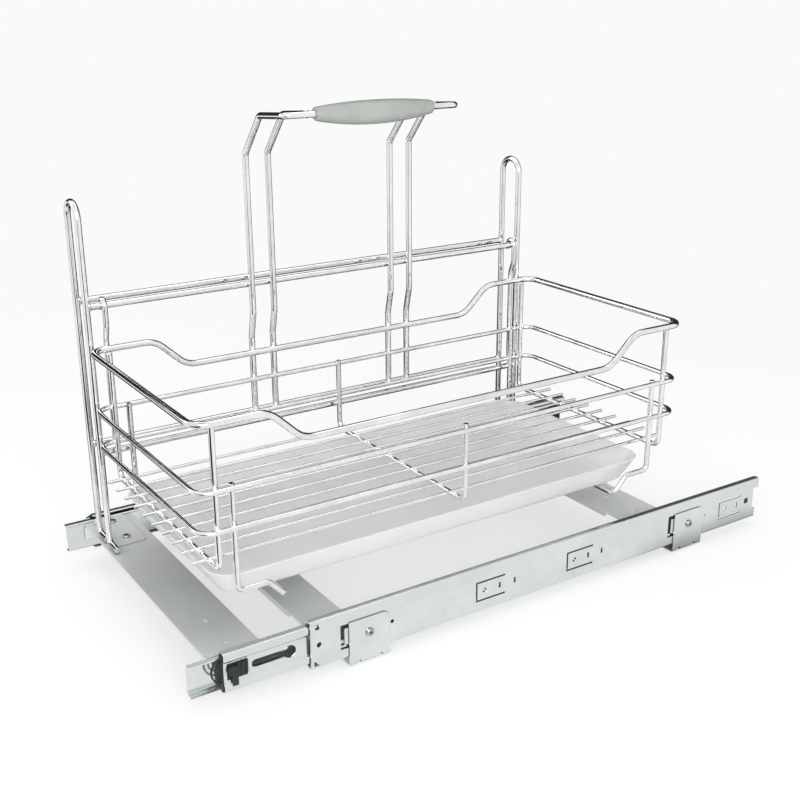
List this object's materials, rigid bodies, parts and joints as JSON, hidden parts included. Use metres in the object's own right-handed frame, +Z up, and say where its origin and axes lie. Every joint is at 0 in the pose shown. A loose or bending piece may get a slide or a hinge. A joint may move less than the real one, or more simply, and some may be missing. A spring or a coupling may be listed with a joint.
{
  "type": "pull-out cleaning caddy",
  "caption": "Wire caddy with a carrying handle and drip tray, hooked on a wire stand that runs on a pair of cabinet ball slides.",
  "frame": {"origin": "on the cabinet floor, in the middle of the rectangle of the four floor-fixing holes", "axes": "+Z up, -Y the pull-out direction, +X towards the open long side of the caddy"},
  "size_m": [0.3334, 0.6563, 0.457],
  "materials": {
    "zinc": "bright zinc plate",
    "chrome": "bright chrome plate on wire",
    "plate_steel": "satin zinc-plated sheet",
    "black_plastic": "moulded black plastic",
    "ball_steel": "polished steel",
    "grip_plastic": "satin moulded plastic",
    "tray_plastic": "frosted translucent plastic"
  },
  "bodies": {
    "root": {"bracket_screws": "zinc", "floor_bracket_front_left": "zinc", "floor_bracket_front_right": "zinc", "floor_bracket_rear_left": "zinc", "floor_bracket_rear_right": "zinc", "rear_bumper_left": "black_plastic", "rear_bumper_right": "black_plastic", "slide_cabinet_member_left": "zinc", "slide_cabinet_member_right": "zinc"},
    "outer_cage_right": {"outer_ball_cage_right": "zinc", "outer_balls_right": "ball_steel"},
    "outer_cage_left": {"outer_ball_cage_left": "zinc", "outer_balls_left": "ball_steel"},
    "inner_cage_right": {"inner_ball_cage_right": "zinc", "inner_balls_right": "ball_steel"},
    "inner_cage_left": {"inner_ball_cage_left": "zinc", "inner_balls_left": "ball_steel"},
    "middle_right": {"slide_middle_member_right": "zinc", "latch_clip_right": "black_plastic", "front_guide_right": "black_plastic"},
    "middle_left": {"slide_middle_member_left": "zinc", "latch_clip_left": "black_plastic", "front_guide_left": "black_plastic"},
    "carriage": {"cross_plate_front": "plate_steel", "cross_plate_middle": "plate_steel", "cross_plate_rear": "plate_steel", "slide_drawer_member_left": "zinc", "slide_drawer_member_right": "zinc", "stand_bar_lower_far": "chrome", "stand_bar_lower_near": "chrome", "stand_bar_upper_far": "chrome", "stand_bar_upper_near": "chrome", "stand_base_front": "zinc", "stand_base_rear": "zinc", "stand_post_front": "chrome", "stand_post_rear": "chrome", "stand_screws": "zinc"},
    "caddy": {"basket_floor_wires": "chrome", "basket_hook_front": "chrome", "basket_hook_rear": "chrome", "basket_rib_front": "chrome", "basket_rib_middle": "chrome", "basket_rib_rear": "chrome", "basket_rim": "chrome", "basket_ring_lower": "chrome", "basket_ring_upper": "chrome", "foot_frame_front": "chrome", "foot_frame_rear": "chrome", "grip": "grip_plastic", "handle_bow": "chrome", "handle_strut_front": "chrome", "handle_strut_rear": "chrome"},
    "tray": {"drip_tray": "tray_plastic"}
  },
  "joints": [
    {"name": "right_middle_slide", "type": "slide", "parent": "root", "child": "middle_right", "axis": [0, -1, 0], "range_m": [-0.078, 0.197]},
    {"name": "left_middle_slide", "type": "slide", "parent": "root", "child": "middle_left", "axis": [0, -1, 0], "range_m": [-0.078, 0.197]},
    {"name": "right_outer_cage_slide", "type": "slide", "parent": "root", "child": "outer_cage_right", "axis": [0, -1, 0], "range_m": [-0.039, 0.0985]},
    {"name": "left_outer_cage_slide", "type": "slide", "parent": "root", "child": "outer_cage_left", "axis": [0, -1, 0], "range_m": [-0.039, 0.0985]},
    {"name": "carriage_slide", "type": "slide", "parent": "middle_right", "child": "carriage", "axis": [0, -1, 0], "range_m": [-0.0283, 0.2467]},
    {"name": "right_inner_cage_slide", "type": "slide", "parent": "middle_right", "child": "inner_cage_right", "axis": [0, -1, 0], "range_m": [-0.01415, 0.12335]},
    {"name": "left_inner_cage_slide", "type": "slide", "parent": "middle_left", "child": "inner_cage_left", "axis": [0, -1, 0], "range_m": [-0.01415, 0.12335]},
    {"name": "caddy_lift", "type": "slide", "parent": "carriage", "child": "caddy", "axis": [0, 0, 1], "range_m": [0, 0.012]},
    {"name": "tray_slide", "type": "slide", "parent": "caddy", "child": "tray", "axis": [0, -1, 0], "range_m": [0, 0.45]}
  ],
  "couplings": [
    {"joint": "left_middle_slide", "follows": "right_middle_slide", "ratio": 1},
    {"joint": "right_outer_cage_slide", "follows": "right_middle_slide", "ratio": 0.5},
    {"joint": "left_outer_cage_slide", "follows": "right_middle_slide", "ratio": 0.5},
    {"joint": "right_inner_cage_slide", "follows": "carriage_slide", "ratio": 0.5},
    {"joint": "left_inner_cage_slide", "follows": "carriage_slide", "ratio": 0.5}
  ]
}
